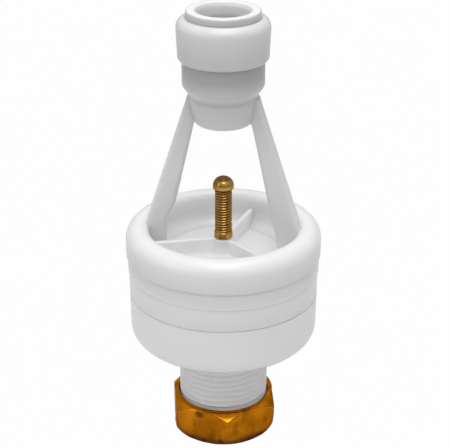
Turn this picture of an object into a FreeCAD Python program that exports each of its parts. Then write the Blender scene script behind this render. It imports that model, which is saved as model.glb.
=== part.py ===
import FreeCAD, Part

import math
import os

# Self-sealing waste tundish with a float valve.
# A push-fit inlet drips through an air gap into an open cup. A float in the cup carries a
# rubber disc that rests on the outlet seat: water lifts it, and an empty cup stays sealed.
# Frame: origin at the centre of the compression nut's lower face, +Z up the common axis,
# X across the two arms, Y towards the back. Every length is in millimetres.

V = FreeCAD.Vector
Z_AXIS = V(0, 0, 1)

# ---------------------------------------------------------------- driving dimensions
INLET_PIPE_DIA = 15.0            # copper or plastic pipe pushed into the top
OUTLET_PIPE_DIA = 22.0           # copper waste pipe held by the nut and olive
PIPE_PLAY = 0.1                  # radial play of a pipe in its socket
FIT_GAP = 0.1                    # running gap of a guided piece
JOINT_GAP = 0.05                 # gap left for cement or sealant between fixed pieces

NUT_FLATS = 29.6                 # hexagon across flats
NUT_HEIGHT = 11.1
NUT_TOP_LAND = (13.7, 36.5)      # radius of the flat ring and angle of the chamfer outside it
NUT_BOTTOM_LAND = (14.0, 50.0)
NUT_LIP = 2.4                    # thickness of the lip under the olive
NUT_TURN = 34.4                  # degrees from +X to the first corner
OLIVE_BOTTOM = 2.7
OLIVE_TOP = 6.6
OLIVE_BULGE = 0.9                # wall of the olive at its middle
THREAD_R = 26.44 / 2             # G3/4 male thread, major radius
THREAD_PITCH = 1.814
GROOVE_DEPTH = 0.72              # depth of the rings that stand for the thread

NECK_BOTTOM = 4.6
NECK_MOUTH = 3.5                 # height of the lead-in cone for the olive
SOCKET_R = OUTLET_PIPE_DIA / 2 + PIPE_PLAY + 0.05
SOCKET_TOP = 26.0                # where the outlet pipe stops
WATERWAY_R = 9.0                 # bore between bowl and outlet pipe

BOWL_BOTTOM = 30.25
BOWL_FLOOR = 32.8
BOWL_ROUND = 5.0
BOWL_R = 27.6
CHAMBER_R = 24.0
SEAM = 45.4                      # split between lower bowl and upper cup
SEAM_GAP = 0.14
SPIGOT_R = 26.2                  # tongue of the bowl inside the upper cup
SPIGOT_TOP = 49.5
SPIGOT_GROOVE = (46.7, 48.1)
SPIGOT_GROOVE_DEPTH = 1.2
BOWL_RING_SECTION = 0.6
CUP_UPPER_R = 28.0
WITNESS_LINE = 52.2              # faint step round the cup
WITNESS_STEP = 0.15
WALL_R = 26.5                    # tongue of the upper cup inside the rim
WALL_TOP = 61.8
LEDGE = 55.0                     # where the spider's ring sits
LEDGE_R = 25.2
RIM_BOTTOM = 58.2
RIM_TOP = 66.5
RIM_R = 28.4
MOUTH_R = 21.5                   # inside of the rim

SEAT_TOP = 36.8
SEAT_FOOT_R = 15.0
SEAT_SHOULDER_R = 12.2
SEAT_LIP = (10.4, 11.4)          # inner and outer radius of the lip the disc closes on

RING_TOP = 57.4                  # clamped ring of the spider
FLOOR_BOTTOM = 56.4
FLOOR_RISE = 0.2                 # how much higher the floor is at the wall than at the boss
COVE_TOP = 61.6                  # the floor curves up the wall to here
COVE_ROUND = 3.6
COVE_LIP = 0.5                   # thickness of the cove's upper edge
DRAIN_R = (8.0, 19.0)            # drain window in the floor, towards the front
DRAIN_ANGLES = (200.0, 300.0)
WEB_TOP = 62.0
WEB_THICKNESS = 1.5
WEB_ANGLES = (67.0, 190.0, 310.0)
BOSS_R = 3.05

ARM_ANGLE = -6.6                 # the right arm's turn from +X about Z
ARM_THICKNESS = 4.4
ARM_CORNER = 1.2
ARM_FOOT = RING_TOP + JOINT_GAP
ARM_POCKET_R = 16.1              # inner end of the pockets the feet stand in
RIGHT_ARM_SECTIONS = (           # height, inner reach and outer reach, from nozzle to foot
    (104.8, 6.5, 10.25),
    (96.6, 8.2, 12.86),
    (72.2, 13.3, 20.65),
    (70.2, 13.72, 21.2),
    (68.5, 14.07, 21.38),
    (ARM_FOOT, 16.35, 21.38),
)
LEFT_ARM_SECTIONS = (            # the same for the left arm, which has a notch above its foot
    (104.8, 6.5, 10.25),
    (96.6, 8.44, 12.86),
    (72.2, 14.0, 20.65),
    (70.2, 15.9, 21.2),
    (68.5, 16.2, 21.38),
    (ARM_FOOT, 16.9, 21.38),
)
NOZZLE_BOTTOM = 97.3
NOZZLE_TOP = 106.5
NOZZLE_MOUTH_R = 7.9
NOZZLE_TOP_R = 9.85
NOZZLE_BORE_R = 5.6
THROAT_R = 6.6

FITTING_R = 11.53                # inlet body's outside
FITTING_BOTTOM = 108.8
FITTING_TOP = 121.2
PIPE_STOP = 110.4
SEAL_FLOOR = 116.6
SEAL_BORE_R = 10.7
INLET_RING_SECTION = 1.55
SPACER_BOTTOM = 120.4
SPACER_TOP = 121.4
CAP_BOTTOM = 116.2
CAP_TOP = 128.0
CAP_R = 13.05
CAP_HOLE_R = 9.3
CAP_THROAT_R = 9.95
CAP_CLOSE = 0.5                  # how far a quarter turn draws the cap down
COLLET_BOTTOM = 122.75
COLLET_TOP = 130.0
COLLET_FLANGE_R = 10.4
COLLET_FLANGE_BOTTOM = 127.85
COLLET_PRESS = 1.2               # release travel of the collet
COLLET_SLOT = (4.0, 0.8, 3.2)    # length, width and height of the slot between two fingers
TEETH = 8
TOOTH_REACH = (7.4, 8.9)
TOOTH_HEIGHT = (123.15, 123.75)
TOOTH_WIDTH = 2.6

STEM_THREAD_R = 2.5              # M5 above the collar
STEM_THREAD_DEPTH = 0.43
STEM_PITCH = 0.8
STEM_GUIDE_R = 2.1               # plain shank in the spider's boss
STEM_TAIL_R = 2.0                # M4 below the guide
STEM_HEAD_R = 3.05
STEM_COLLAR_R = 2.65
STEM_COLLAR_TOP = 64.1
STEM_HEAD_BOTTOM = 77.4
STEM_TOP = 81.0
SHANK_BOTTOM = 52.0
M4_NUT = (7.0, 2.2)              # across flats and height

DISC_R = 13.6
WASHER_R = 6.0
WASHER = 1.0
FLOAT_R = 21.8
FLOAT_SPLIT = 45.0
FLOAT_BOTTOM = 39.0
FLOAT_EDGE = 50.0
FLOAT_TOP = 51.7
FLOAT_WALL = 1.4
FLOAT_RECESS_R = 5.2


# ---------------------------------------------------------------- geometry helpers
def outline(corners):
    """Closed wire in the XZ plane through (radius, height[, rounding]) corners."""
    count = len(corners)
    points = [V(c[0], 0, c[1]) for c in corners]
    starts, ends, mids = [], [], []
    for i, corner in enumerate(corners):
        here = points[i]
        rounding = corner[2] if len(corner) > 2 else 0.0
        if rounding == 0.0:
            starts.append(here)
            ends.append(here)
            mids.append(None)
            continue
        back = (points[i - 1] - here).normalize()
        ahead = (points[(i + 1) % count] - here).normalize()
        half = back.getAngle(ahead) / 2
        reach = rounding / math.tan(half)
        centre = here + (back + ahead).normalize() * (rounding / math.sin(half))
        starts.append(here + back * reach)
        ends.append(here + ahead * reach)
        mids.append(centre + (here - centre).normalize() * rounding)
    edges = []
    for i in range(count):
        if mids[i] is not None:
            edges.append(Part.Arc(starts[i], mids[i], ends[i]).toShape())
        following = starts[(i + 1) % count]
        side = points[(i + 1) % count] - points[i]
        if (following - ends[i]).dot(side) < -1e-9:
            raise ValueError("the roundings at both ends of a side overlap")
        if ends[i].distanceToPoint(following) > 1e-6:
            edges.append(Part.makeLine(ends[i], following))
    return Part.Wire(edges)


def turned(corners):
    """Solid of revolution about Z of an outline of (radius, height[, rounding]) corners."""
    return Part.Face(outline(corners)).revolve(V(0, 0, 0), Z_AXIS, 360)


def rod(radius, low, high):
    return Part.makeCylinder(radius, high - low, V(0, 0, low))


def spun(shape, angle):
    """Copy of a shape turned about Z by an angle in degrees."""
    copy = shape.copy()
    copy.rotate(V(0, 0, 0), Z_AXIS, angle)
    return copy


def slab(corners, thickness):
    """Plate on the XZ plane's outline, centred on Y = 0."""
    plate = Part.Face(outline(corners)).extrude(V(0, thickness, 0))
    plate.translate(V(0, -thickness / 2, 0))
    return plate


def hexagon(flats, low, high, turn=0.0):
    corner = flats / math.sqrt(3)
    ring = [V(corner * math.cos(math.radians(turn + 60 * i)),
              corner * math.sin(math.radians(turn + 60 * i)), low) for i in range(7)]
    return Part.Face(Part.makePolygon(ring)).extrude(V(0, 0, high - low))


def chamfered_hexagon(flats, low, high, turn, top, bottom):
    """Hexagon whose corners are turned off at each end; top and bottom are (land radius, angle)."""
    over = flats / math.sqrt(3) + 1.0
    top_drop = (over - top[0]) * math.tan(math.radians(top[1]))
    bottom_rise = (over - bottom[0]) * math.tan(math.radians(bottom[1]))
    blank = turned([(0, low), (bottom[0], low), (over, low + bottom_rise),
                    (over, high - top_drop), (top[0], high), (0, high)])
    return hexagon(flats, low, high, turn).common(blank)


def torus(ring_radius, section_radius, height):
    return Part.makeTorus(ring_radius, section_radius, V(0, 0, height))


def grooved_rod(major, depth, pitch, low, high):
    """Shaft with one V groove per pitch, which stands for a screw thread."""
    corners = [(0, low)]
    land = pitch * 0.12
    turns = int((high - low) / pitch)
    for i in range(turns):
        start = low + i * pitch
        corners += [(major, start + land), (major - depth, start + pitch / 2)]
    corners += [(major, low + turns * pitch), (major, high), (0, high)]
    corners.insert(1, (major, low))
    return turned(corners)


# ---------------------------------------------------------------- outlet connection
def compression_nut():
    bore = THREAD_R + FIT_GAP
    pipe_hole = OUTLET_PIPE_DIA / 2 + 0.4
    nut = chamfered_hexagon(NUT_FLATS, 0.0, NUT_HEIGHT, NUT_TURN, NUT_TOP_LAND, NUT_BOTTOM_LAND)
    cone_top = NUT_LIP + bore - pipe_hole
    inside = turned([(0, -1), (pipe_hole, -1), (pipe_hole, NUT_LIP), (bore, cone_top),
                     (bore, NUT_HEIGHT - 0.2), (bore + 0.3, NUT_HEIGHT + 0.1), (0, NUT_HEIGHT + 0.1)])
    return nut.cut(inside)


def olive():
    """Brass compression ring with a cone at each end."""
    inner = OUTLET_PIPE_DIA / 2 + PIPE_PLAY
    outer = inner + OLIVE_BULGE
    return turned([(inner, OLIVE_BOTTOM), (inner + 0.2, OLIVE_BOTTOM), (outer, OLIVE_BOTTOM + 1.3, 0.3),
                   (outer, OLIVE_TOP - 2.0, 0.3), (inner + 0.2, OLIVE_TOP), (inner, OLIVE_TOP)])


def outlet_neck():
    """Threaded tail that takes the waste pipe; its top is cemented into the bowl's floor."""
    thread_top = BOWL_BOTTOM - 2.6
    blank = grooved_rod(THREAD_R, GROOVE_DEPTH, THREAD_PITCH, NECK_BOTTOM, thread_top)
    shoulder = rod(THREAD_R, thread_top, BOWL_FLOOR)
    mouth = SOCKET_R + 1.25
    bore = turned([(0, NECK_BOTTOM - 1), (mouth, NECK_BOTTOM - 1), (mouth, NECK_BOTTOM),
                   (SOCKET_R, NECK_BOTTOM + NECK_MOUTH), (SOCKET_R, SOCKET_TOP), (WATERWAY_R, SOCKET_TOP),
                   (WATERWAY_R, BOWL_FLOOR + 1), (0, BOWL_FLOOR + 1)])
    return blank.fuse(shoulder).removeSplitter().cut(bore)


# ---------------------------------------------------------------- cup
def lower_bowl():
    hole = THREAD_R + JOINT_GAP
    shoulder = SEAM - SEAM_GAP / 2
    groove_r = SPIGOT_R - SPIGOT_GROOVE_DEPTH
    return turned([(hole, BOWL_BOTTOM), (BOWL_R - 0.2, BOWL_BOTTOM, BOWL_ROUND), (BOWL_R, shoulder, 0.5),
                   (SPIGOT_R, shoulder), (SPIGOT_R, SPIGOT_GROOVE[0]), (groove_r, SPIGOT_GROOVE[0]),
                   (groove_r, SPIGOT_GROOVE[1]), (SPIGOT_R, SPIGOT_GROOVE[1]),
                   (SPIGOT_R, SPIGOT_TOP), (CHAMBER_R, SPIGOT_TOP), (CHAMBER_R, BOWL_FLOOR, 4.0),
                   (hole, BOWL_FLOOR)])


def bowl_o_ring():
    centre = SPIGOT_R - SPIGOT_GROOVE_DEPTH + BOWL_RING_SECTION + 0.03
    return torus(centre, BOWL_RING_SECTION, sum(SPIGOT_GROOVE) / 2)


def cup_upper():
    """Upper half of the cup: a witness step outside, the spider's ledge inside."""
    foot = SEAM + SEAM_GAP / 2
    under_rim = RIM_BOTTOM - 0.15
    inner = SPIGOT_R + FIT_GAP
    return turned([(inner, foot), (BOWL_R - 0.05, foot, 0.2), (BOWL_R + 0.1, WITNESS_LINE),
                   (BOWL_R + 0.1 + WITNESS_STEP, WITNESS_LINE + WITNESS_STEP), (CUP_UPPER_R, under_rim),
                   (WALL_R, under_rim), (WALL_R, WALL_TOP), (LEDGE_R, WALL_TOP), (LEDGE_R, LEDGE),
                   (CHAMBER_R, LEDGE), (CHAMBER_R, SPIGOT_TOP + 0.2), (inner, SPIGOT_TOP + 0.2)])


def cup_rim():
    """Thick rolled rim, a channel that grips the cup's wall and holds the spider down."""
    outer = WALL_R + FIT_GAP
    inner = LEDGE_R - FIT_GAP
    return turned([(outer, RIM_BOTTOM), (RIM_R - 0.05, RIM_BOTTOM, 0.3), (RIM_R, RIM_TOP, 4.0),
                   (MOUTH_R, RIM_TOP, 2.8), (MOUTH_R, RING_TOP + FIT_GAP, 0.4),
                   (inner, RING_TOP + FIT_GAP), (inner, WALL_TOP + FIT_GAP), (outer, WALL_TOP + FIT_GAP)])


def drain_window():
    """The opening in the spider's floor, as a sector of a ring with rounded corners."""
    start, end = DRAIN_ANGLES
    height = 3.0
    pies = [Part.makeCylinder(radius, height, V(0, 0, FLOOR_BOTTOM - 1), Z_AXIS, end - start)
            for radius in DRAIN_R]
    sector = pies[1].cut(pies[0])
    upright = [e for e in sector.Edges if e.BoundBox.ZLength > height - 0.1]
    return spun(sector.makeFillet(1.5, upright), start)


def spider():
    """Dished floor with a drain window, and three webs that carry the float's guide boss."""
    guide = STEM_GUIDE_R + FIT_GAP
    edge = MOUTH_R - 0.15
    outer = LEDGE_R - FIT_GAP
    skirt = DRAIN_R[1] + 0.2
    body = turned([(guide, FLOOR_BOTTOM), (skirt, FLOOR_BOTTOM), (skirt + 1.0, LEDGE), (outer, LEDGE),
                   (outer, RING_TOP), (edge, RING_TOP), (edge, COVE_TOP), (edge - COVE_LIP, COVE_TOP),
                   (edge - COVE_LIP, RING_TOP + FLOOR_RISE, COVE_ROUND), (DRAIN_R[0], RING_TOP),
                   (guide, RING_TOP)])
    body = body.cut(drain_window())
    pocket = slab([(ARM_POCKET_R, RING_TOP), (MOUTH_R, RING_TOP), (MOUTH_R, WEB_TOP),
                   (ARM_POCKET_R, WEB_TOP)], ARM_THICKNESS + 2 * FIT_GAP)
    body = body.cut(spun(pocket, ARM_ANGLE)).cut(spun(pocket, ARM_ANGLE + 180.0))
    root = FLOOR_BOTTOM + 0.3
    for angle in WEB_ANGLES:
        web = slab([(guide + 0.3, root), (edge, root), (edge, WEB_TOP), (guide + 0.3, WEB_TOP)],
                   WEB_THICKNESS)
        top_edges = [e for e in web.Edges if abs(e.CenterOfMass.z - WEB_TOP) < 1e-3 and e.Length > 10]
        body = body.fuse(spun(web.makeFillet(0.5, top_edges), angle))
    body = body.fuse(turned([(guide, FLOOR_BOTTOM), (BOSS_R, FLOOR_BOTTOM), (BOSS_R, WEB_TOP, 0.4),
                             (guide, WEB_TOP)]))
    return body.cut(rod(guide, FLOOR_BOTTOM - 1, WEB_TOP + 1)).removeSplitter()


def valve_seat():
    """Raised seat round the waterway, with the narrow lip the rubber disc closes on."""
    return turned([(WATERWAY_R, BOWL_FLOOR), (SEAT_FOOT_R, BOWL_FLOOR),
                   (SEAT_FOOT_R, BOWL_FLOOR + 1.2, 0.4), (SEAT_SHOULDER_R, SEAT_TOP - 1.2, 1.0),
                   (SEAT_LIP[1], SEAT_TOP, 0.3),
                   (SEAT_LIP[0], SEAT_TOP, 0.3), (WATERWAY_R, SEAT_TOP - 2.0)])


# ---------------------------------------------------------------- float and stem
def seal_disc():
    hole = STEM_TAIL_R + JOINT_GAP
    return turned([(hole, SEAT_TOP), (DISC_R, SEAT_TOP, 0.5), (DISC_R, FLOAT_BOTTOM, 0.5),
                   (hole, FLOAT_BOTTOM)])


def seal_washer():
    hole = STEM_TAIL_R + JOINT_GAP
    return turned([(hole, SEAT_TOP - WASHER), (WASHER_R, SEAT_TOP - WASHER, 0.3),
                   (WASHER_R, SEAT_TOP, 0.3), (hole, SEAT_TOP)])


def m4_nut(low):
    flats, height = M4_NUT
    land = (3.4, 30.0)
    nut = chamfered_hexagon(flats, low, low + height, 15.0, land, land)
    return nut.cut(rod(STEM_TAIL_R + JOINT_GAP, low - 1, low + height + 1))


def seal_nut():
    return m4_nut(SEAT_TOP - WASHER - M4_NUT[1])


def stem_nut():
    """Nut under the stem's shoulder; it clamps the float from above."""
    return m4_nut(SHANK_BOTTOM - M4_NUT[1])


def float_shell():
    """Lower half of the hollow float, open at the top, with a centre tube."""
    inner = STEM_TAIL_R + 0.15
    hub = inner + 1.6
    inside = FLOAT_R - FLOAT_WALL
    floor = FLOAT_BOTTOM + FLOAT_WALL
    return turned([(inner, FLOAT_BOTTOM), (FLOAT_R - 1.5, FLOAT_BOTTOM, 2.0),
                   (FLOAT_R, FLOAT_BOTTOM + 3.0, 1.5), (FLOAT_R, FLOAT_SPLIT), (inside, FLOAT_SPLIT),
                   (inside, floor + 1.6, 1.0), (inside - 2.0, floor), (hub, floor),
                   (hub, FLOAT_SPLIT), (inner, FLOAT_SPLIT)])


def float_lid():
    """Upper half of the float: a low dome with a recess for the clamping nut."""
    inner = STEM_TAIL_R + 0.15
    hub = inner + 1.6
    inside = FLOAT_R - FLOAT_WALL
    nut_seat = SHANK_BOTTOM - M4_NUT[1]
    ceiling = nut_seat - FLOAT_WALL
    return turned([(inner, FLOAT_SPLIT), (hub, FLOAT_SPLIT), (hub, ceiling),
                   (FLOAT_RECESS_R + FLOAT_WALL, ceiling),
                   (FLOAT_RECESS_R + FLOAT_WALL, FLOAT_TOP - FLOAT_WALL),
                   (inside, FLOAT_EDGE - FLOAT_WALL, 0.6), (inside, FLOAT_SPLIT),
                   (FLOAT_R, FLOAT_SPLIT), (FLOAT_R, FLOAT_EDGE, 1.6),
                   (FLOAT_RECESS_R + 2.2, FLOAT_TOP, 3.0), (FLOAT_RECESS_R, FLOAT_TOP, 0.4),
                   (FLOAT_RECESS_R, nut_seat), (inner, nut_seat)])


def float_stem():
    """Turned brass stem: domed head, M5 thread, collar, guide shank and M4 tail."""
    tail_bottom = SEAT_TOP - WASHER - M4_NUT[1] - 0.8
    web_face = WEB_TOP + 0.05
    tail = turned([(0, tail_bottom), (STEM_TAIL_R, tail_bottom, 0.5), (STEM_TAIL_R, SHANK_BOTTOM),
                   (STEM_GUIDE_R, SHANK_BOTTOM), (STEM_GUIDE_R, web_face), (0, web_face)])
    collar = turned([(0, web_face), (STEM_COLLAR_R, web_face, 0.3),
                     (STEM_COLLAR_R, STEM_COLLAR_TOP, 0.2), (0, STEM_COLLAR_TOP)])
    thread = grooved_rod(STEM_THREAD_R, STEM_THREAD_DEPTH, STEM_PITCH, STEM_COLLAR_TOP, STEM_HEAD_BOTTOM)
    head = turned([(0, STEM_HEAD_BOTTOM), (STEM_HEAD_R, STEM_HEAD_BOTTOM, 0.3),
                   (STEM_HEAD_R, STEM_TOP, STEM_HEAD_R * 0.93), (0, STEM_TOP)])
    return tail.fuse(collar).fuse(thread).fuse(head).removeSplitter()


# ---------------------------------------------------------------- arms and nozzle
def nozzle_side():
    """Corners of the nozzle's outside above its rounded mouth."""
    return [(NOZZLE_MOUTH_R + 0.9, 101.0, 6.0), (NOZZLE_TOP_R, NOZZLE_TOP)]


def inlet_nozzle():
    """Spout under the inlet body; its mouth is the top of the air gap."""
    return turned([(NOZZLE_BORE_R, NOZZLE_BOTTOM + 0.4), (NOZZLE_MOUTH_R, NOZZLE_BOTTOM, 0.9)]
                  + nozzle_side() + [(THROAT_R, NOZZLE_TOP)])


def arm_section(height, inner, outer):
    """Rounded rectangle across an arm, as a wire."""
    half = ARM_THICKNESS / 2
    flat = Part.makePolygon([V(inner, -half, height), V(outer, -half, height), V(outer, half, height),
                             V(inner, half, height), V(inner, -half, height)])
    face = Part.Face(flat)
    block = face.extrude(V(0, 0, 1))
    upright = [e for e in block.Edges if e.BoundBox.ZLength > 0.5]
    rounded = block.makeFillet(ARM_CORNER, upright)
    base = [f for f in rounded.Faces if f.BoundBox.ZMax < height + 1e-6]
    return base[0].OuterWire


def arm(sections, angle):
    """Arm from the nozzle's side down into the mouth of the cup."""
    blade = Part.makeLoft([arm_section(*section) for section in sections], True, True)
    below = NOZZLE_BOTTOM - 5.0
    core = turned([(0, below), (NOZZLE_MOUTH_R, below)] + nozzle_side() + [(0, NOZZLE_TOP)])
    return spun(blade.cut(core), angle)


# ---------------------------------------------------------------- push-fit inlet
def inlet_body():
    """Push-fit body: pipe socket, seal chamber and the thread the cap turns on."""
    socket = INLET_PIPE_DIA / 2 + PIPE_PLAY
    return turned([(THROAT_R, NOZZLE_TOP), (NOZZLE_TOP_R - 0.05, NOZZLE_TOP, 0.3),
                   (FITTING_R, FITTING_BOTTOM, 1.2), (FITTING_R, FITTING_TOP, 0.3),
                   (SEAL_BORE_R, FITTING_TOP), (SEAL_BORE_R, SEAL_FLOOR), (socket, SEAL_FLOOR),
                   (socket, PIPE_STOP), (THROAT_R, PIPE_STOP)])


def inlet_o_ring():
    section = INLET_RING_SECTION
    return torus(SEAL_BORE_R - 0.05 - section, section, SEAL_FLOOR + section + 0.02)


def spacer_ring():
    """Ring between cap and O-ring; a quarter turn of the cap drives it down."""
    inner = INLET_PIPE_DIA / 2 + 0.25
    outer = SEAL_BORE_R - FIT_GAP
    return turned([(inner, SPACER_BOTTOM), (outer, SPACER_BOTTOM), (outer, SPACER_TOP),
                   (inner, SPACER_TOP)])


def pushfit_cap():
    skirt = FITTING_R + 0.15
    recess = COLLET_FLANGE_R + FIT_GAP
    recess_floor = COLLET_FLANGE_BOTTOM - COLLET_PRESS - 0.1
    ring_face = SPACER_TOP + 0.02
    body_face = FITTING_TOP + CAP_CLOSE + 0.1
    return turned([(skirt, CAP_BOTTOM), (CAP_R - 0.75, CAP_BOTTOM, 0.1),
                   (CAP_R - 0.35, CAP_BOTTOM + 0.6, 0.5), (CAP_R, CAP_TOP - 3.0, 6.0),
                   (CAP_R, CAP_TOP, 2.2), (recess, CAP_TOP, 0.15),
                   (recess, recess_floor), (CAP_HOLE_R, recess_floor), (CAP_HOLE_R, 124.6),
                   (CAP_THROAT_R, 123.2), (CAP_THROAT_R, ring_face), (SEAL_BORE_R - 0.15, ring_face),
                   (SEAL_BORE_R - 0.15, body_face), (skirt, body_face)])


def tooth_blank(grow):
    """One steel gripping tooth, or its pocket when grown."""
    near, far = TOOTH_REACH[0] - grow, TOOTH_REACH[1] + grow
    low, high = TOOTH_HEIGHT[0] - grow, TOOTH_HEIGHT[1] + grow
    return slab([(near, low), (far, low), (far, high), (near, high)], TOOTH_WIDTH + 2 * grow)


def collet():
    """Release collet: a lip outside the cap and slotted fingers inside it."""
    bore = INLET_PIPE_DIA / 2 + PIPE_PLAY
    neck = CAP_HOLE_R - 0.2
    body = turned([(bore, COLLET_BOTTOM), (9.5, COLLET_BOTTOM, 0.2), (9.75, 123.1), (neck, 124.5),
                   (neck, COLLET_FLANGE_BOTTOM), (COLLET_FLANGE_R, COLLET_FLANGE_BOTTOM),
                   (COLLET_FLANGE_R, COLLET_TOP, 0.8), (bore, COLLET_TOP, 0.9)])
    length, width, height = COLLET_SLOT
    slot = Part.makeBox(length, width, height, V(bore - 0.6, -width / 2, COLLET_BOTTOM - 0.1))
    pocket = tooth_blank(0.03)
    for i in range(TEETH):
        turn = i * 360.0 / TEETH
        body = body.cut(spun(slot, turn + 180.0 / TEETH)).cut(spun(pocket, turn))
    return body


def collet_teeth():
    return Part.makeCompound([spun(tooth_blank(0.0), i * 360.0 / TEETH) for i in range(TEETH)])


# ---------------------------------------------------------------- assembly
def main():
    nodes = {
        "compression_nut": compression_nut(),
        "olive": olive(),
        "outlet_neck": outlet_neck(),
        "lower_bowl": lower_bowl(),
        "bowl_o_ring": bowl_o_ring(),
        "cup_upper": cup_upper(),
        "cup_rim": cup_rim(),
        "spider": spider(),
        "valve_seat": valve_seat(),
        "seal_disc": seal_disc(),
        "seal_washer": seal_washer(),
        "seal_nut": seal_nut(),
        "stem_nut": stem_nut(),
        "float_shell": float_shell(),
        "float_lid": float_lid(),
        "float_stem": float_stem(),
        "inlet_nozzle": inlet_nozzle(),
        "arm_right": arm(RIGHT_ARM_SECTIONS, ARM_ANGLE),
        "arm_left": arm(LEFT_ARM_SECTIONS, ARM_ANGLE + 180.0),
        "inlet_body": inlet_body(),
        "inlet_o_ring": inlet_o_ring(),
        "spacer_ring": spacer_ring(),
        "pushfit_cap": pushfit_cap(),
        "collet": collet(),
        "collet_teeth": collet_teeth(),
    }
    os.makedirs("parts", exist_ok=True)
    for name, shape in nodes.items():
        if not shape.isValid():
            raise ValueError(name + " is not a valid solid")
        shape.exportStep("parts/" + name + ".step")
        print(name, len(shape.Solids), round(shape.Volume, 1))


main()
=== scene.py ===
import math

import bmesh
import bpy
import numpy as np
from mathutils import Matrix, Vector


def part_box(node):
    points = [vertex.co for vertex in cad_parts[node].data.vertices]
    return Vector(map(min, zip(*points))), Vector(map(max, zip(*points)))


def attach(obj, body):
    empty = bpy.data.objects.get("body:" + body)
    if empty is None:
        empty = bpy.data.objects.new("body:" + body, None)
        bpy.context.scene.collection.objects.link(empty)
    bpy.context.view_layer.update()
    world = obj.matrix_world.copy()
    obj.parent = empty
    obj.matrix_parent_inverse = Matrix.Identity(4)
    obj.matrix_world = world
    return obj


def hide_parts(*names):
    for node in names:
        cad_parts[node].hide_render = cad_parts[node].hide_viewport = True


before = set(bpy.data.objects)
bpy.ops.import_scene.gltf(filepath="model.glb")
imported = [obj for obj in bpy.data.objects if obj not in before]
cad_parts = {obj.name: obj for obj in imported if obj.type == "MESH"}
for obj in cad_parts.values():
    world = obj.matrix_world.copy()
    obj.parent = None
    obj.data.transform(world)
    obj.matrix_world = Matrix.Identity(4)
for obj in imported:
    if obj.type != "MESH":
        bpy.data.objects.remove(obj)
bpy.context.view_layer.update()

# Looks of the self-sealing tundish. Lengths in the shape tables are millimetres of the CAD frame:
# origin under the nut, +Z up the axis, the camera on the -Y side.

MM = 0.001
TAU = 2 * math.pi


def top(node):
    """Highest point of a CAD node, in millimetres."""
    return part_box(node)[1][2] / MM


def bottom(node):
    """Lowest point of a CAD node, in millimetres."""
    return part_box(node)[0][2] / MM


def radius(node):
    """Reach of a CAD node from the axis along X, in millimetres."""
    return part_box(node)[1][0] / MM


# ------------------------------------------------------------------ mesh tools
def rounded(corners, step=9.0, longest=None):
    """Points of a closed outline from (radius, height[, rounding]) corners, its roundings as arcs."""
    count = len(corners)
    spots = [Vector(c[:2]) for c in corners]
    points = []
    for i, corner in enumerate(corners):
        here = spots[i]
        rounding = corner[2] if len(corner) > 2 else 0.0
        if rounding == 0.0:
            points.append(here)
            continue
        back = (spots[i - 1] - here).normalized()
        ahead = (spots[(i + 1) % count] - here).normalized()
        half = back.angle(ahead) / 2
        centre = here + (back + ahead).normalized() * (rounding / math.sin(half))
        first = here + back * (rounding / math.tan(half)) - centre
        last = here + ahead * (rounding / math.tan(half)) - centre
        turn = first.angle_signed(last)
        pieces = max(3, math.ceil(abs(math.degrees(turn)) / step - 0.01))
        for k in range(pieces + 1):
            angle = -turn * k / pieces
            cos, sin = math.cos(angle), math.sin(angle)
            points.append(centre + Vector((first.x * cos - first.y * sin, first.x * sin + first.y * cos)))
    if longest is None:
        return points
    fine = []
    for a, b in zip(points, points[1:] + points[:1]):
        parts = max(1, math.ceil((b - a).length / longest))
        fine += [a + (b - a) * k / parts for k in range(parts)]
    return fine


def make_object(name, vertices, faces, sharp=34.0):
    """Mesh object in metres from vertices in millimetres, cleaned, facing out, smooth with sharp edges."""
    mesh = bpy.data.meshes.new(name)
    mesh.from_pydata((np.asarray(vertices) * MM).tolist(), [], faces)
    work = bmesh.new()
    work.from_mesh(mesh)
    bmesh.ops.remove_doubles(work, verts=work.verts, dist=1e-7)
    bmesh.ops.dissolve_degenerate(work, edges=work.edges, dist=1e-8)
    bmesh.ops.recalc_face_normals(work, faces=work.faces)
    work.to_mesh(mesh)
    work.free()
    mesh.shade_smooth()
    mesh.set_sharp_from_angle(angle=math.radians(sharp))
    piece = bpy.data.objects.new(name, mesh)
    bpy.context.scene.collection.objects.link(piece)
    return piece


def grid_faces(columns, rows, wrap_columns=True):
    """Quads of a grid whose vertices run row by row within each column; the rows close on themselves."""
    faces = []
    for i in range(columns if wrap_columns else columns - 1):
        for j in range(rows):
            a, b = i * rows, ((i + 1) % columns) * rows
            k = (j + 1) % rows
            faces.append((a + j, b + j, b + k, a + k))
    return faces


def lathe(name, corners, segments=256, longest=None, shape=None):
    """Turned piece. shape(radius, height, angle) may move the radii of its surface."""
    outline = np.array([tuple(p) for p in rounded(corners, longest=longest)])
    angles = np.arange(segments) * TAU / segments
    reach = np.repeat(outline[None, :, 0], segments, axis=0)
    height = np.repeat(outline[None, :, 1], segments, axis=0)
    around = np.repeat(angles[:, None], len(outline), axis=1)
    if shape is not None:
        reach = shape(reach, height, around)
    vertices = np.stack([reach * np.cos(around), reach * np.sin(around), height], axis=-1)
    return make_object(name, vertices.reshape(-1, 3), grid_faces(segments, len(outline)))


def sector(name, corners, start, end, segments=48):
    """Turned piece that runs only from one angle to another, in degrees, its ends closed."""
    outline = rounded(corners)
    rows = len(outline)
    angles = np.radians(np.linspace(start, end, segments + 1))
    vertices = [(p.x * math.cos(a), p.x * math.sin(a), p.y) for a in angles for p in outline]
    faces = grid_faces(segments + 1, rows, wrap_columns=False)
    faces += [tuple(range(rows)), tuple(range(segments * rows + rows - 1, segments * rows - 1, -1))]
    return make_object(name, vertices, faces)


def smooth_step(value, low, high):
    """0 below a range and 1 above it, with a soft change between."""
    t = np.clip((value - low) / (high - low), 0.0, 1.0)
    return t * t * (3 - 2 * t)


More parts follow.
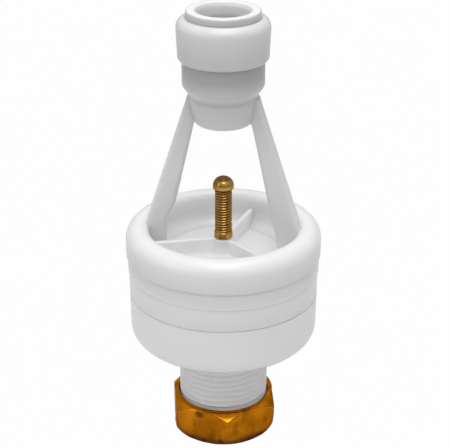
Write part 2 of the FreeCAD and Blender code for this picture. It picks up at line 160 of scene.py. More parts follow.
def thread_cut(height, around, pitch, start):
    """0 on a thread's crest and 1 in its root, for a right-handed helix."""
    phase = ((height - start) / pitch - around / TAU) % 1.0
    ramp = 1 - np.abs(2 * phase - 1)
    return 0.45 * ramp + 0.55 * (1 - np.cos(math.pi * ramp)) / 2


def soft_min(a, b, width):
    """Smaller of two lengths, blended over a width where they meet."""
    mix = np.clip(0.5 + 0.5 * (b - a) / width, 0.0, 1.0)
    return b * (1 - mix) + a * mix - width * mix * (1 - mix)


def fuse(name, pieces, voxel, rounds):
    """One moulding out of overlapping pieces, its inside corners filled by a fine remesh."""
    work = bmesh.new()
    for piece in pieces:
        work.from_mesh(piece.data)
        bpy.data.objects.remove(piece)
    rough = bpy.data.meshes.new(name + "_rough")
    work.to_mesh(rough)
    work.free()
    whole = bpy.data.objects.new(name + "_rough", rough)
    bpy.context.scene.collection.objects.link(whole)
    remesh = whole.modifiers.new("Remesh", "REMESH")
    remesh.mode = "VOXEL"
    remesh.voxel_size = voxel * MM
    soften = whole.modifiers.new("Smooth", "SMOOTH")
    soften.factor = 0.5
    soften.iterations = rounds
    bpy.context.view_layer.update()
    ready = whole.evaluated_get(bpy.context.evaluated_depsgraph_get())
    mesh = bpy.data.meshes.new_from_object(ready)
    mesh.name = name
    mesh.shade_smooth()
    bpy.data.objects.remove(whole)
    moulding = bpy.data.objects.new(name, mesh)
    bpy.context.scene.collection.objects.link(moulding)
    return moulding


def gather(name, pieces):
    """Several closed pieces as one mesh, untouched."""
    work = bmesh.new()
    for piece in pieces:
        work.from_mesh(piece.data)
        bpy.data.objects.remove(piece)
    mesh = bpy.data.meshes.new(name)
    work.to_mesh(mesh)
    work.free()
    mesh.shade_smooth()
    mesh.set_sharp_from_angle(angle=math.radians(34))
    whole = bpy.data.objects.new(name, mesh)
    bpy.context.scene.collection.objects.link(whole)
    return whole


def place(piece, body, slot, material, *nodes):
    """Gives a piece its material and body and hides the CAD nodes it stands for; its slot is not used."""
    piece.data.materials.clear()
    piece.data.materials.append(material)
    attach(piece, body)
    if nodes:
        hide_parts(*nodes)


# ------------------------------------------------------------------ materials
class Nodes:
    """Short hand for building one material's node tree."""

    def __init__(self, name):
        self.material = bpy.data.materials.new(name)
        self.material.use_nodes = True
        self.tree = self.material.node_tree
        self.shader = self.tree.nodes["Principled BSDF"]
        self.where = self.tree.nodes.new("ShaderNodeTexCoord").outputs["Object"]

    def link(self, source, target):
        self.tree.links.new(source, target)

    def noise(self, scale, detail=4.0, roughness=0.55, stretch=(1, 1, 1), distortion=0.0):
        spread = self.tree.nodes.new("ShaderNodeMapping")
        spread.inputs["Scale"].default_value = stretch
        self.link(self.where, spread.inputs["Vector"])
        node = self.tree.nodes.new("ShaderNodeTexNoise")
        node.inputs["Scale"].default_value = scale
        node.inputs["Detail"].default_value = detail
        node.inputs["Roughness"].default_value = roughness
        node.inputs["Distortion"].default_value = distortion
        self.link(spread.outputs["Vector"], node.inputs["Vector"])
        return node.outputs["Fac"]

    def rings(self, scale, distortion=0.0):
        """Bands stacked along Z, as a turning tool leaves them."""
        node = self.tree.nodes.new("ShaderNodeTexWave")
        node.bands_direction = "Z"
        node.inputs["Scale"].default_value = scale
        node.inputs["Distortion"].default_value = distortion
        node.inputs["Detail"].default_value = 2.0
        self.link(self.where, node.inputs["Vector"])
        return node.outputs["Fac"]

    def ramp(self, source, stops):
        node = self.tree.nodes.new("ShaderNodeValToRGB")
        band = node.color_ramp
        while len(band.elements) < len(stops):
            band.elements.new(0.5)
        for element, (position, colour) in zip(band.elements, stops):
            element.position = position
            element.color = (*colour, 1.0)
        self.link(source, node.inputs["Fac"])
        return node.outputs["Color"]

    def span(self, source, low, high, from_low=0.0, from_high=1.0):
        """The source's range from_low to from_high spread over low to high."""
        node = self.tree.nodes.new("ShaderNodeMapRange")
        node.inputs["From Min"].default_value = from_low
        node.inputs["From Max"].default_value = from_high
        node.inputs["To Min"].default_value = low
        node.inputs["To Max"].default_value = high
        self.link(source, node.inputs["Value"])
        return node.outputs["Result"]

    def mix(self, fac, a, b):
        """Colour a where the factor is 0 and colour b where it is 1."""
        node = self.tree.nodes.new("ShaderNodeMix")
        node.data_type = "RGBA"
        self.link(fac, node.inputs["Factor"])
        for value, socket in ((a, node.inputs["A"]), (b, node.inputs["B"])):
            if isinstance(value, tuple):
                socket.default_value = (*value, 1.0)
            else:
                self.link(value, socket)
        return node.outputs["Result"]

    def bump(self, *layers):
        """Stacks (height source, distance in metres) layers onto the shader's normal."""
        normal = None
        for source, distance in layers:
            node = self.tree.nodes.new("ShaderNodeBump")
            node.inputs["Strength"].default_value = 1.0
            node.inputs["Distance"].default_value = distance
            self.link(source, node.inputs["Height"])
            if normal is not None:
                self.link(normal, node.inputs["Normal"])
            normal = node.outputs["Normal"]
        self.link(normal, self.shader.inputs["Normal"])

    def near(self, spot, reach):
        """1 at a spot of the object, given in millimetres, fading to 0 at a reach from it."""
        node = self.tree.nodes.new("ShaderNodeVectorMath")
        node.operation = "DISTANCE"
        node.inputs[1].default_value = [v * MM for v in spot]
        self.link(self.where, node.inputs[0])
        return self.span(node.outputs["Value"], 1.0, 0.0, 0.15 * reach * MM, reach * MM)

    def height(self, low, high, from_low, from_high):
        """A value that changes between two heights in millimetres."""
        parts = self.tree.nodes.new("ShaderNodeSeparateXYZ")
        self.link(self.where, parts.inputs["Vector"])
        return self.span(parts.outputs["Z"], from_low, from_high, low * MM, high * MM)

    def reach(self, low, high, from_low, from_high):
        """A value that changes between two distances from the axis, in millimetres."""
        flat = self.tree.nodes.new("ShaderNodeVectorMath")
        flat.operation = "MULTIPLY"
        flat.inputs[1].default_value = (1, 1, 0)
        self.link(self.where, flat.inputs[0])
        node = self.tree.nodes.new("ShaderNodeVectorMath")
        node.operation = "LENGTH"
        self.link(flat.outputs["Vector"], node.inputs[0])
        return self.span(node.outputs["Value"], from_low, from_high, low * MM, high * MM)

    def times(self, a, b):
        """Product of two values, each a socket or a plain number."""
        node = self.tree.nodes.new("ShaderNodeMath")
        node.operation = "MULTIPLY"
        for value, socket in ((a, node.inputs[0]), (b, node.inputs[1])):
            if isinstance(value, float):
                socket.default_value = value
            else:
                self.link(value, socket)
        return node.outputs["Value"]

    def set(self, **values):
        for name, value in values.items():
            self.shader.inputs[name.replace("_", " ")].default_value = value


def moulded_plastic(name, tone, rough, painted_light_by_height=None, outer=None):
    """White moulded plastic: barely cloudy, slightly translucent, with orange peel and faint specks.

    The height tuple (low, high, factor) shifts the tone between two heights and
    outer = (near, far, factor) between two distances from the axis, all in millimetres.
    Both shifts are painted light and painted shade, set to where light falls on the part.
    """
    n = Nodes(name)
    cloud = n.noise(40.0, detail=2.0)
    grime = n.noise(330.0, detail=6.0, roughness=0.7, distortion=0.5)
    scuffs = n.noise(140.0, detail=5.0, roughness=0.65)
    peel = n.noise(1400.0, detail=2.0)
    flow = n.noise(50.0, detail=2.0)
    colour = n.ramp(cloud, [(0.35, tuple(c * 0.985 for c in tone)), (0.65, tone)])
    if painted_light_by_height is not None:
        # Painted light and painted shade: the tone changes with height.
        low, high, factor = painted_light_by_height
        colour = n.mix(n.height(low, high, 0.0, 1.0), colour, tuple(c * factor for c in tone))
    # Painted light and painted shade: the tone changes with distance from the axis.
    if outer is not None:
        near, far, factor = outer
        colour = n.mix(n.reach(near, far, 0.0, 1.0), colour, tuple(c * factor for c in tone))
    specks = n.span(grime, 0.0, 0.8, 0.71, 0.82)
    n.link(n.mix(specks, colour, tuple(c * 0.90 for c in tone)), n.shader.inputs["Base Color"])
    n.link(n.span(scuffs, rough, rough + 0.03, 0.40, 0.75), n.shader.inputs["Roughness"])
    n.bump((flow, 0.00003), (peel, 0.0000025))
    n.set(IOR=1.5, Subsurface_Weight=0.5, Subsurface_Scale=0.003)
    n.shader.inputs["Subsurface Radius"].default_value = (1.0, 0.97, 0.93)
    return n.material


def turned_brass(name, bright, deep, stain_and_shade, rough, grooves, darker_masks):
    """Turned brass: tool rings, scratches, warm and dull patches, stains, and darker, duller places where the
    masks say; on the nut those masks are painted shade.
    """
    n = Nodes(name)
    patch = n.noise(150.0, detail=5.0, roughness=0.6, distortion=0.6)
    spots = n.noise(420.0, detail=4.0, roughness=0.7)
    scratch = n.noise(240.0, detail=5.0, roughness=0.7, stretch=(0.25, 0.25, 6.0))
    rings = n.rings(grooves, 0.6)
    colour = n.ramp(patch, [(0.30, deep), (0.66, bright)])
    colour = n.mix(n.span(spots, 0.0, 0.85, 0.66, 0.80), colour, stain_and_shade)
    metal = None
    # Each mask darkens and dulls the brass towards the stain colour; on the nut this is painted shade.
    for mask in darker_masks(n):
        colour = n.mix(mask, colour, stain_and_shade)
        clean = n.span(mask, 1.0, 0.15, 0.0, 1.0)
        metal = clean if metal is None else n.times(metal, clean)
    n.link(metal, n.shader.inputs["Metallic"])
    n.link(colour, n.shader.inputs["Base Color"])
    n.link(n.span(scratch, rough - 0.07, rough + 0.14, 0.3, 0.72), n.shader.inputs["Roughness"])
    n.bump((patch, 0.00006), (scratch, 0.000010), (rings, 0.000003))
    n.set(Coat_Weight=0.04, Coat_Roughness=0.08)
    n.shader.inputs["Specular Tint"].default_value = (0.85, 0.50, 0.16, 1)
    return n.material


# Painted shade in the nut's dent and nick: spots with their reach; and the heights of its faint streak.
NUT_DENT_SHADE = (((-7.7, -13.2, 9.2), 1.5), ((-6.8, -13.6, 9.3), 1.3), ((-0.7, -15.4, 1.6), 1.1),
              ((-0.7, -15.4, 1.6), 1.4))
NUT_STREAK = (7.8, 6.9, 6.0, 5.1, 4.2)


def nut_painted_shade(n):
    """Painted shade along the nut's lower edge, in its bore and in its dents, and a faint streak."""
    ragged = n.span(n.noise(300.0, detail=4.0), 0.55, 1.0, 0.3, 0.6)
    # Painted dark reflection: the lower edge darkened as if it mirrored the shadowed ground under the nut.
    yield n.times(n.height(0.9, 2.4, 1.0, 0.0), ragged)
    # Painted shade in the bore.
    yield n.reach(13.5, 13.66, 0.95, 0.0)
    # Painted shade in the dents.
    for spot, reach in NUT_DENT_SHADE:
        yield n.near(spot, reach)
    for level in NUT_STREAK:
        yield n.times(n.near((3.7, -15.6, level), 1.4), 0.22)


def stem_root_darkening(n):
    """Darker towards the roots of the stem's thread."""
    yield n.times(n.reach(2.14, 2.40, 0.85, 0.0), n.height(64.1, 64.6, 0.0, 1.0))


def black_rubber():
    n = Nodes("black_rubber")
    grain = n.noise(900.0, detail=4.0)
    colour = n.ramp(grain, [(0.3, (0.012, 0.012, 0.013)), (0.7, (0.035, 0.035, 0.036))])
    n.link(colour, n.shader.inputs["Base Color"])
    n.link(n.span(grain, 0.5, 0.75), n.shader.inputs["Roughness"])
    n.bump((grain, 0.00002))
    return n.material


def spring_steel():
    n = Nodes("spring_steel")
    brushed = n.noise(700.0, detail=4.0, stretch=(0.2, 1, 4))
    colour = n.ramp(brushed, [(0.3, (0.42, 0.42, 0.43)), (0.7, (0.62, 0.62, 0.63))])
    n.link(colour, n.shader.inputs["Base Color"])
    n.link(n.span(brushed, 0.22, 0.42), n.shader.inputs["Roughness"])
    n.bump((brushed, 0.000008))
    n.set(Metallic=1.0)
    return n.material


CUP_WHITE = moulded_plastic("cup_white", (0.86, 0.86, 0.86), 0.22)
# wall_white darkens above 50.5 mm: painted shade on the upper wall.
WALL_WHITE = moulded_plastic("wall_white", (0.86, 0.86, 0.86), 0.24, (50.5, 54.5, 0.91))
# rim_white brightens above 59 mm: painted light on the top of the rim.
RIM_WHITE = moulded_plastic("rim_white", (0.80, 0.80, 0.80), 0.22, (59.0, 64.0, 1.08))
# cap_white: a dark tone that brightens towards the top, painted shade on the cap's lower wall and painted
# light on its upper part.
CAP_WHITE = moulded_plastic("cap_white", (0.575, 0.575, 0.575), 0.24, (114.0, 127.5, 1.28))
# collet_white: its bright tone is partly painted light on the lip, and the darkening out from 9.85 mm is
# painted shade on the outer wall.
COLLET_WHITE = moulded_plastic("collet_white", (0.94, 0.94, 0.94), 0.18, outer=(9.85, 10.25, 0.60))
# fitting_white: its grey tone is partly painted shade, and the darkening above 107.5 mm is the painted shadow
# of the cap on the body.
FITTING_WHITE = moulded_plastic("fitting_white", (0.66, 0.66, 0.66), 0.30, (107.5, 112.5, 0.66))
# arm_white darkens from 84 mm upwards: painted shade on the upper arms and spout under the fitting.
ARM_WHITE = moulded_plastic("arm_white", (0.75, 0.75, 0.75), 0.30, (84.0, 104.5, 0.84))
INNER_WHITE = moulded_plastic("inner_white", (0.90, 0.90, 0.90), 0.20)
NUT_BRASS = turned_brass("nut_brass", (0.72, 0.26, 0.006), (0.30, 0.082, 0.002), (0.05, 0.012, 0.0006), 0.14,
                         900.0, nut_painted_shade)
STEM_BRASS = turned_brass("stem_brass", (0.70, 0.44, 0.15), (0.36, 0.17, 0.03), (0.10, 0.035, 0.004), 0.16,
                          1500.0, stem_root_darkening)
RUBBER = black_rubber()
STEEL = spring_steel()


# ------------------------------------------------------------------ outlet
THREAD_PITCH = 1.814
THREAD_DEPTH = 0.85


def threaded_neck():
    """Neck with the real helical thread, running out under the bowl."""
    low, high = bottom("outlet_neck"), top("outlet_neck")
    outer = radius("outlet_neck")
    socket = 11.15
    waterway = 9.0
    stop = 26.0
    shoulder = bottom("lower_bowl") - 2.9

    def cut(reach, height, around):
        outside = reach > outer - 0.01
        fade = 1 - smooth_step(height, shoulder - 1.6, shoulder)
        lead_in = smooth_step(height, low, low + 1.2)
        groove = THREAD_DEPTH * thread_cut(height, around, THREAD_PITCH, 0.0) * fade * lead_in
        return np.where(outside, reach - groove, reach)

    piece = lathe("threaded_neck",
                  [(socket + 1.1, low), (outer, low), (outer, high), (waterway, high),
                   (waterway, stop), (socket, stop), (socket, low + 3.5)],
                  segments=192, longest=0.16, shape=cut)
    place(piece, "housing", "white_cup", CUP_WHITE, "outlet_neck")


NUT_FLATS = 29.6
NUT_TURN = math.radians(34.4)
NUT_LAND = 14.1                  # radius of the flat ring on top
NUT_BEVEL = 0.35                 # small bevel round the ring, before the crowned chamfer
NUT_BOTTOM = 14.9                # radius where the domed lower edge meets the ground
NUT_DOME = 0.8                   # how fast the dome opens with the root of the height
# Knocks on the nut: angle, height, width, tallness and depth.
KNOCKS = ((241.2, 9.3, 0.85, 0.42, 0.26), (267.4, 1.3, 0.6, 0.8, 0.5), (320.0, 3.2, 0.5, 0.3, 0.08),
          (281.5, 6.0, 0.28, 2.6, 0.10), (232.0, 4.4, 0.9, 0.3, 0.05))


def hexagon_nut():
    """Hexagon nut with crowned chamfers, a domed lower edge and its knocks."""
    high = top("compression_nut")
    hole = 11.4
    bore = radius("outlet_neck") + 0.1

    def hexagon(reach, height, around):
        outside = reach > NUT_BOTTOM + 0.01
        sector_angle = (around - NUT_TURN) % (TAU / 6)
        from_flat = np.abs(sector_angle - TAU / 12)
        near = NUT_FLATS / 2 / np.cos(from_flat)
        far = NUT_FLATS / 2 / np.cos(np.minimum(TAU / 6 - from_flat, 1.4))
        side = soft_min(near, far, 0.35)
        drop = np.maximum(high - height, 0.0)
        crown = np.clip(drop - NUT_BEVEL, 0.0, 4.0)
        top_cone = NUT_LAND + np.minimum(drop, NUT_BEVEL) + 1.38 * crown - 0.10 * crown ** 2
        dome = NUT_BOTTOM + NUT_DOME * np.sqrt(np.maximum(height, 0.0))
        shaped = soft_min(soft_min(side, top_cone, 0.3), dome, 0.3)
        for angle, level, width, tall, depth in KNOCKS:
            off = ((around - math.radians(angle) + math.pi) % TAU - math.pi) * NUT_FLATS / 2
            shaped = shaped - depth * np.exp(-(off / width) ** 2 - ((height - level) / tall) ** 2)
        return np.where(outside, shaped, reach)

    piece = lathe("hexagon_nut",
                  [(hole, 0.0), (NUT_BOTTOM, 0.0), (NUT_FLATS, 0.02), (NUT_FLATS, high - 0.04),
                   (NUT_LAND - 0.02, high), (bore + 0.34, high, 0.05), (bore, high - 0.4), (bore, 4.3),
                   (hole, 2.4)],
                  segments=576, longest=0.13, shape=hexagon)
    place(piece, "nut", "brass_nut", NUT_BRASS, "compression_nut")


# ------------------------------------------------------------------ cup
def bowl_shell():
    """Lower bowl with the spigot and O-ring groove inside its seam."""
    low = bottom("lower_bowl")
    seam = bottom("cup_upper") - 0.14
    outer = radius("lower_bowl")
    hole = radius("outlet_neck") + 0.03
    spigot = 26.2
    chamber = 24.0
    piece = lathe("bowl_shell",
                  [(hole, low, 0.25), (outer - 0.2, low, 5.0), (outer, seam, 0.5), (spigot, seam),
                   (spigot, 46.7), (spigot - 1.2, 46.7), (spigot - 1.2, 48.1), (spigot, 48.1),
                   (spigot, 49.5, 0.3), (chamber, 49.5, 0.3), (chamber, 32.8, 4.0), (hole, 32.8)])
    place(piece, "housing", "white_cup", CUP_WHITE, "lower_bowl")


def cup_wall():
    """Upper cup wall with its witness line."""
    seam = bottom("cup_upper")
    outer = radius("cup_upper")
    chamber = 24.0
    witness = 52.2
    ledge = 55.0
    wall_top = top("cup_upper")
    rim = bottom("cup_rim") - 0.03
    piece = lathe("cup_wall",
                  [(26.3, seam), (27.55, seam, 0.25), (27.66, witness - 0.15, 0.05), (27.58, witness, 0.04),
                   (27.86, witness + 0.2, 0.08), (outer, rim, 0.1), (26.5, rim), (26.5, wall_top),
                   (25.2, wall_top), (25.2, ledge), (chamber, ledge), (chamber, 49.7), (26.3, 49.7)])
    place(piece, "housing", "white_cup", WALL_WHITE, "cup_upper")


MOUTH_R = 21.5                   # inside of the rim
FLOOR_TOP = 57.45                # floor of the cup


def cup_rim_ring():
    """Rolled rim; inside, it sweeps down and out over the edge of the cup's floor."""
    low, high = bottom("cup_rim"), top("cup_rim")
    outer = radius("cup_rim")
    piece = lathe("cup_rim_ring",
                  [(26.6, low), (outer - 0.05, low, 0.08), (outer, high, 4.0), (MOUTH_R, high, 2.6),
                   (MOUTH_R, FLOOR_TOP + 0.02, 4.4), (16.6, FLOOR_TOP + 0.02), (16.6, 56.42), (25.1, 56.42),
                   (25.1, 61.9), (26.6, 61.9)])
    place(piece, "housing", "white_cup", RIM_WHITE, "cup_rim")


WEB_ANGLES = (67.0, 190.0, 310.0)
WINDOW_R = (9.0, 19.0)           # drain window in the floor
WINDOW_ANGLES = (213.0, 300.0)


def plate(name, outline, thickness, angle):
    """Upright plate on a (reach, height) outline, turned about the axis."""
    count = len(outline)
    turn = math.radians(angle)
    vertices = []
    for side in (-thickness / 2, thickness / 2):
        for reach, height in outline:
            vertices.append((reach * math.cos(turn) - side * math.sin(turn),
                             reach * math.sin(turn) + side * math.cos(turn), height))
    faces = [tuple(range(count)), tuple(range(2 * count - 1, count - 1, -1))]
    faces += [(i, (i + 1) % count, count + (i + 1) % count, count + i) for i in range(count)]
    return make_object(name, vertices, faces)


def web_frame():
    """Floor with its drain window, three webs and the guide boss as one moulding with soft corners."""
    web_top = top("spider")
    ledge = bottom("spider")
    outer = radius("spider")
    under, floor = 56.4, FLOOR_TOP
    near, far = WINDOW_R
    start, end = WINDOW_ANGLES
    pieces = [lathe("dish", [(18.4, under), (far + 0.2, under), (far + 1.2, ledge), (outer, ledge),
                             (outer, floor), (18.4, floor)],
                    segments=160)]
    pieces.append(sector("floor_span", [(near - 0.6, under), (19.1, under), (19.1, floor),
                                        (near - 0.6, floor)], end, start + 360.0))
    pieces.append(lathe("hub", [(2.2, under), (near, under), (near, floor), (3.6, floor + 0.1, 0.8),
                                (3.1, web_top - 2.4, 1.0), (3.1, web_top, 0.25), (2.2, web_top)], segments=96))
    for angle in WEB_ANGLES:
        pieces.append(plate("web", [(21.6, web_top), (2.5, web_top), (2.5, under + 0.3), (21.6, under + 0.3)],
                            1.5, angle))
    piece = fuse("web_frame", pieces, 0.22, 6)
    place(piece, "housing", "white_inner", INNER_WHITE, "spider")


# ------------------------------------------------------------------ float and stem
def float_top():
    """Float's lid, with the well for the nut under the stem's shoulder."""
    low = bottom("float_lid")
    high = top("float_lid")
    outer = radius("float_lid")
    inside = outer - 1.4
    recess = high - 1.9
    piece = lathe("float_top",
                  [(2.15, low), (3.75, low), (3.75, recess - 1.4), (6.6, recess - 1.4), (6.6, high - 1.4),
                   (inside, high - 3.1, 0.6), (inside, low), (outer, low), (outer, high - 1.7, 1.6),
                   (7.4, high, 3.0), (5.2, high, 0.4), (5.2, recess), (2.15, recess)], segments=192)
    place(piece, "float", "white_inner", INNER_WHITE, "float_lid")


STEM_PITCH = 0.8
STEM_THREAD_DEPTH = 0.46


def brass_stem():
    """Stem with its domed head, a real M5 thread, the plain collar and the guide shank."""
    low, high = bottom("float_stem"), top("float_stem")
    web_top = top("spider")
    collar_low, collar_high = web_top + 0.05, 64.1
    head_low = 77.4
    head = radius("float_stem")
    major = 2.5

    def cut(reach, height, around):
        outside = (np.abs(reach - major) < 0.01) & (height > collar_high) & (height < head_low)
        begin = smooth_step(height, collar_high, collar_high + 0.25)
        end = 1 - smooth_step(height, head_low - 0.3, head_low)
        groove = STEM_THREAD_DEPTH * begin * end * thread_cut(height, around, STEM_PITCH, 0.0)
        return np.where(outside, reach - groove, reach)

    piece = lathe("brass_stem",
                  [(0.0, low), (2.0, low, 0.5), (2.0, 52.0), (2.1, 52.0), (2.1, collar_low),
                   (2.65, collar_low, 0.35), (2.65, collar_high, 0.35), (major, collar_high),
                   (major, head_low), (head, head_low, 0.35), (head, high, head * 0.93), (0.0, high)],
                  segments=128, longest=0.07, shape=cut)
    place(piece, "float", "brass_stem", STEM_BRASS, "float_stem")


# ------------------------------------------------------------------ yoke: nozzle and arms
ARM_ANGLE = -6.6
# Height, inner reach and outer reach down the right arm.
RIGHT_ARM = ((105.2, 8.9, 10.1), (104.0, 8.6, 10.5), (101.0, 8.1, 11.46), (98.0, 7.8, 12.41),
             (96.2, 8.28, 12.98), (90.0, 9.6, 14.96), (84.0, 10.85, 16.88), (78.0, 12.1, 18.79),
             (74.0, 12.93, 20.07), (72.4, 13.27, 20.6), (71.4, 13.48, 20.92), (70.3, 13.7, 21.27),
             (68.5, 14.07, 21.83), (66.5, 14.48, 22.4), (64.5, 14.9, 22.9), (57.5, 16.35, 22.9))
# The same down the left arm, which has a notch above its foot.
LEFT_ARM = ((105.2, 8.9, 10.1), (104.0, 8.7, 10.5), (101.0, 8.3, 11.46), (98.0, 7.9, 12.41),
            (96.2, 8.5, 12.98), (90.0, 9.9, 14.96), (84.0, 11.25, 16.88), (78.0, 12.6, 18.79),
            (74.0, 13.55, 20.07), (72.6, 13.9, 20.55), (71.4, 14.3, 20.92), (70.2, 15.1, 21.27),
            (68.6, 16.05, 21.83), (66.5, 16.35, 22.4), (64.5, 16.5, 22.9), (57.5, 16.9, 22.9))
ARM_THICKNESS = 4.4


def arm(name, line, angle):
    """Arm lofted down through its line of rounded cross-sections."""
    line = np.array(line)
    heights = np.arange(line[0, 0], line[-1, 0], -0.6)
    heights = np.append(heights, line[-1, 0])
    inner = np.interp(-heights, -line[:, 0], line[:, 1])
    outer = np.interp(-heights, -line[:, 0], line[:, 2])
    turn = math.radians(angle)
    half = ARM_THICKNESS / 2
    corner = 1.25
    vertices = []
    for height, near, far in zip(heights, inner, outer):
        bend = min(corner, (far - near) / 2.2)
        section = rounded([(near, -half, bend), (far, -half, bend), (far, half, bend),
                           (near, half, bend)], step=15)
        for p in section:
            vertices.append((p.x * math.cos(turn) - p.y * math.sin(turn),
                             p.x * math.sin(turn) + p.y * math.cos(turn), height))
    rows = len(heights)
    loop = len(vertices) // rows
    faces = [tuple(range(loop)), tuple(range(rows * loop - 1, (rows - 1) * loop - 1, -1))]
    for i in range(rows - 1):
        for j in range(loop):
            k = (j + 1) % loop
            faces.append((i * loop + j, i * loop + k, (i + 1) * loop + k, (i + 1) * loop + j))
    return make_object(name, vertices, faces)


def yoke():
    """Spout and both arms as one moulding."""
    low, high = bottom("inlet_nozzle"), top("inlet_nozzle")
    mouth = 7.9
    nozzle = lathe("yoke", [(5.6, low + 0.4, 0.3), (mouth, low, 0.9), (mouth + 0.9, 101.0, 6.0),
                            (9.85, high - 0.01), (6.6, high - 0.01)], segments=160)
    arms = [arm("arm_a", RIGHT_ARM, ARM_ANGLE), arm("arm_b", LEFT_ARM, ARM_ANGLE + 180.0)]
    piece = fuse("yoke", [nozzle] + arms, 0.24, 6)
    place(piece, "housing", "white_fitting", ARM_WHITE, "inlet_nozzle", "arm_right", "arm_left")


# ------------------------------------------------------------------ push-fit inlet
def fitting_body():
    """Push-fit body, whose lower skirt runs on over the spout's top."""
    low, high = bottom("inlet_body"), top("inlet_body")
    outer = radius("inlet_body")
    piece = lathe("fitting_body",
                  [(6.6, low), (9.2, low), (9.2, 105.2), (9.6, 105.2), (9.87, low, 1.0),
                   (outer, 108.8, 1.6), (outer, high, 0.3), (10.7, high), (10.7, 116.6), (7.6, 116.6),
                   (7.6, 110.4), (6.6, 110.4)], segments=192)
    place(piece, "housing", "white_fitting", FITTING_WHITE, "inlet_body")


def screw_cap():
    """Cap of the push-fit inlet, with the recess for the collet's lip."""
    low, high = bottom("pushfit_cap"), top("pushfit_cap")
    outer = radius("pushfit_cap")
    skirt = outer - 1.37
    recess = radius("collet") + 0.06
    floor = high - 1.45
    piece = lathe("screw_cap",
                  [(skirt, low, 0.1), (outer - 0.75, low, 0.2), (outer - 0.35, low + 0.6, 0.6),
                   (outer, high - 3.4, 8.0), (outer, high, 2.75), (recess, high, 0.12), (recess, floor),
                   (9.3, floor), (9.3, 124.6), (9.95, 123.2), (9.95, 121.42), (10.55, 121.42), (10.55, 121.8),
                   (skirt, 121.8)], segments=224)
    place(piece, "cap", "white_fitting", CAP_WHITE, "pushfit_cap")


def release_collet():
    """Flared lip and eight gripping fingers, parted by slots."""
    low, high = bottom("collet"), top("collet")
    outer = radius("collet")
    bore, neck, flange = 7.6, 9.1, 127.85
    lip = lathe("lip", [(bore, low + 3.1), (neck, low + 3.1), (neck, flange), (outer, flange),
                        (outer, high, 0.5), (7.9, high, 0.3), (bore, high - 1.2, 0.4)], segments=192)
    slot = 3.0
    fingers = [sector("finger", [(bore, low), (9.5, low, 0.2), (9.75, low + 0.35), (neck, low + 1.75),
                                 (neck, low + 3.2), (bore, low + 3.2)],
                      turn + slot - 22.5, turn - slot + 22.5, 10) for turn in range(0, 360, 45)]
    piece = gather("release_collet", [lip] + fingers)
    place(piece, "release_collet", "white_fitting", COLLET_WHITE, "collet")


# ------------------------------------------------------------------ CAD nodes that stay
KEPT = {
    "collet_teeth": STEEL, "inlet_o_ring": RUBBER, "spacer_ring": FITTING_WHITE,
    "bowl_o_ring": RUBBER, "valve_seat": INNER_WHITE, "seal_disc": RUBBER, "seal_washer": STEEL,
    "seal_nut": STEM_BRASS, "stem_nut": STEM_BRASS, "float_shell": INNER_WHITE, "olive": NUT_BRASS,
}


def dress_cad_nodes():
    """Materials for the CAD nodes that no piece replaces."""
    for name, material in KEPT.items():
        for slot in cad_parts[name].material_slots:
            slot.material = material


# ------------------------------------------------------------------ stage, light and camera
def stage():
    """White sweep: plain white to the camera, a pale table to everything it lights."""
    bpy.ops.mesh.primitive_plane_add(size=6.0, location=(0, 0, -0.0001))
    floor = bpy.context.active_object
    floor.name = "floor"
    n = Nodes("pale_floor")
    n.set(Roughness=0.9)
    n.shader.inputs["Base Color"].default_value = (0.77, 0.77, 0.77, 1)
    glow = n.tree.nodes.new("ShaderNodeEmission")
    glow.inputs["Color"].default_value = (0.99, 0.99, 0.99, 1)
    path = n.tree.nodes.new("ShaderNodeLightPath")
    blend = n.tree.nodes.new("ShaderNodeMixShader")
    n.link(path.outputs["Is Camera Ray"], blend.inputs["Fac"])
    n.link(n.shader.outputs["BSDF"], blend.inputs[1])
    n.link(glow.outputs["Emission"], blend.inputs[2])
    n.link(blend.outputs["Shader"], n.tree.nodes["Material Output"].inputs["Surface"])
    floor.data.materials.append(n.material)


def area_light(name, place_at, aim, size, power):
    data = bpy.data.lights.new(name, "AREA")
    data.shape = "RECTANGLE"
    data.size, data.size_y = size
    data.energy = power
    lamp = bpy.data.objects.new(name, data)
    lamp.location = place_at
    lamp.rotation_euler = (Vector(aim) - Vector(place_at)).to_track_quat("-Z", "Y").to_euler()
    bpy.context.scene.collection.objects.link(lamp)


TENT = (0.23, 0.84)              # brightness at the horizon and overhead


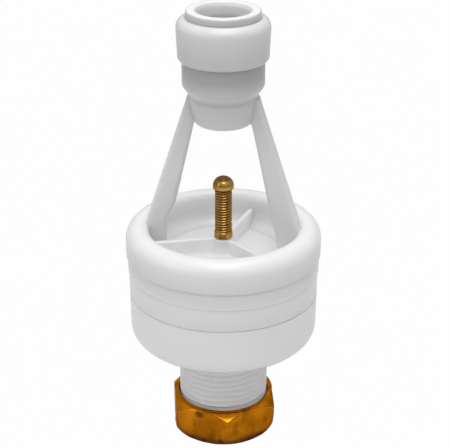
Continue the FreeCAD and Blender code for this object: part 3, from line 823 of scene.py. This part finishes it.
def sky():
    """Light tent: brighter overhead than at the sides, white where the camera looks past the floor."""
    world = bpy.data.worlds.new("tent")
    world.use_nodes = True
    tree = world.node_tree
    back = tree.nodes["Background"]
    back.inputs["Color"].default_value = (1, 1, 1, 1)
    where = tree.nodes.new("ShaderNodeTexCoord")
    parts = tree.nodes.new("ShaderNodeSeparateXYZ")
    rise = tree.nodes.new("ShaderNodeMapRange")
    rise.inputs["From Min"].default_value = 0.0
    rise.inputs["From Max"].default_value = 1.0
    rise.inputs["To Min"].default_value = TENT[0]
    rise.inputs["To Max"].default_value = TENT[1]
    path = tree.nodes.new("ShaderNodeLightPath")
    seen = tree.nodes.new("ShaderNodeMix")
    seen.inputs["B"].default_value = 1.0
    tree.links.new(where.outputs["Generated"], parts.inputs["Vector"])
    tree.links.new(parts.outputs["Z"], rise.inputs["Value"])
    tree.links.new(path.outputs["Is Camera Ray"], seen.inputs["Factor"])
    tree.links.new(rise.outputs["Result"], seen.inputs["A"])
    tree.links.new(seen.outputs["Result"], back.inputs["Strength"])
    bpy.context.scene.world = world


def lights():
    centre = (0, 0, 0.06)
    area_light("overhead_box", (0.015, -0.01, 0.62), (0.015, -0.01, 0.0), (0.26, 0.50), 1.2)
    area_light("front_card", (0.0, -0.31, 0.58), centre, (0.34, 0.26), 0.60)
    area_light("left_strip", (-0.55, -0.30, 0.30), centre, (0.12, 0.4), 0.25)
    sky()


def camera():
    """Long lens, 24.87 degrees above the object's middle, the axis a hair left of centre."""
    elevation = math.radians(24.87)
    distance = 0.400
    middle = Vector((0, 0, 0.066))
    data = bpy.data.cameras.new("camera")
    data.sensor_width = 36.0
    data.lens = 110.65
    data.shift_x = 0.00245
    data.clip_start = 0.01
    view = bpy.data.objects.new("camera", data)
    view.location = middle + Vector((0, -math.cos(elevation), math.sin(elevation))) * distance
    view.rotation_euler = (middle - view.location).to_track_quat("-Z", "Y").to_euler()
    bpy.context.scene.collection.objects.link(view)
    bpy.context.scene.camera = view


camera()
lights()
stage()
threaded_neck()
hexagon_nut()
bowl_shell()
cup_wall()
cup_rim_ring()
web_frame()
float_top()
brass_stem()
yoke()
fitting_body()
screw_cap()
release_collet()
dress_cad_nodes()
bpy.context.scene.view_settings.view_transform = "Standard"
